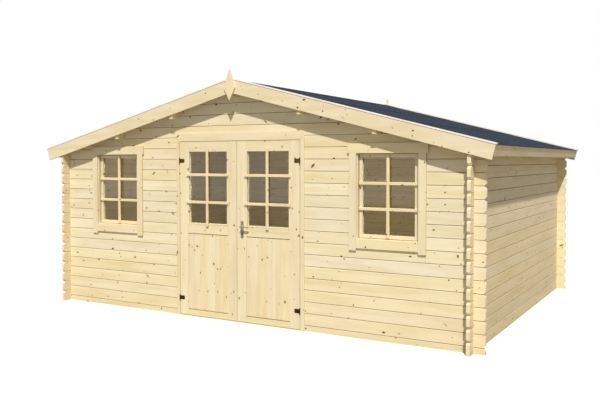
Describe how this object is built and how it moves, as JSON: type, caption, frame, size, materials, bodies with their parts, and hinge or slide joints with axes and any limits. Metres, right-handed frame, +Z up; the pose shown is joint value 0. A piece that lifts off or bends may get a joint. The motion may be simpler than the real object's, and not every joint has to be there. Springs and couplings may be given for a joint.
{
  "type": "garden shed",
  "caption": "Log-built garden shed with interlocking corners, a glazed double door, barred windows and a felted gable roof.",
  "frame": {"origin": "on the ground at the middle of the plan", "axes": "+Z up; the front with the door and windows faces -Y; the ridge runs along Y; +X is to the right seen from the front"},
  "size_m": [5.6146, 4.206, 2.6997],
  "materials": {
    "log_timber": "planed spruce logs, untreated, matt",
    "planed_timber": "planed spruce boards, untreated, matt",
    "joinery_timber": "planed spruce joinery, untreated, matt",
    "felt": "mineral-faced roofing felt, blue-grey",
    "pane": "clear glass",
    "hinge_metal": "dull brass-plated steel",
    "handle_metal": "brushed steel"
  },
  "bodies": {
    "shed": {"front_wall_left": "log_timber", "front_wall_right": "log_timber", "front_gable": "log_timber", "back_wall": "log_timber", "side_wall_left": "log_timber", "side_wall_right": "log_timber", "purlins_left": "planed_timber", "purlins_right": "planed_timber", "purlins_ridge": "planed_timber", "roof_boards_left": "planed_timber", "roof_boards_right": "planed_timber", "roof_felt_left": "felt", "roof_felt_right": "felt", "eave_board_left": "planed_timber", "eave_board_right": "planed_timber", "bargeboard_front_left": "planed_timber", "bargeboard_front_right": "planed_timber", "bargeboard_back_left": "planed_timber", "bargeboard_back_right": "planed_timber", "verge_strip_front_left": "planed_timber", "verge_strip_front_right": "planed_timber", "verge_strip_back_left": "planed_timber", "verge_strip_back_right": "planed_timber", "finial_front": "planed_timber", "finial_back": "planed_timber", "door_post_left": "joinery_timber", "door_post_right": "joinery_timber", "door_head": "joinery_timber", "door_threshold": "joinery_timber", "hinge_bases": "hinge_metal", "window_frame_left": "joinery_timber", "window_frame_right": "joinery_timber", "window_sash_left": "joinery_timber", "window_sash_right": "joinery_timber", "window_glass": "pane", "window_trim_left": "joinery_timber", "window_trim_right": "joinery_timber"},
    "door_left": {"door_leaf_left": "joinery_timber", "door_glass_left": "pane", "hinge_leaf_left": "hinge_metal"},
    "door_right": {"door_leaf_right": "joinery_timber", "door_glass_right": "pane", "hinge_leaf_right": "hinge_metal", "door_handle_outside": "handle_metal", "door_handle_inside": "handle_metal"}
  },
  "joints": [
    {"name": "door_left_hinge", "type": "hinge", "parent": "shed", "child": "door_left", "pos_m": [-0.78025, -1.971, 0], "axis": [0, 0, -1], "range_deg": [0, 110]},
    {"name": "door_right_hinge", "type": "hinge", "parent": "shed", "child": "door_right", "pos_m": [0.78025, -1.971, 0], "axis": [0, 0, 1], "range_deg": [0, 110]}
  ]
}
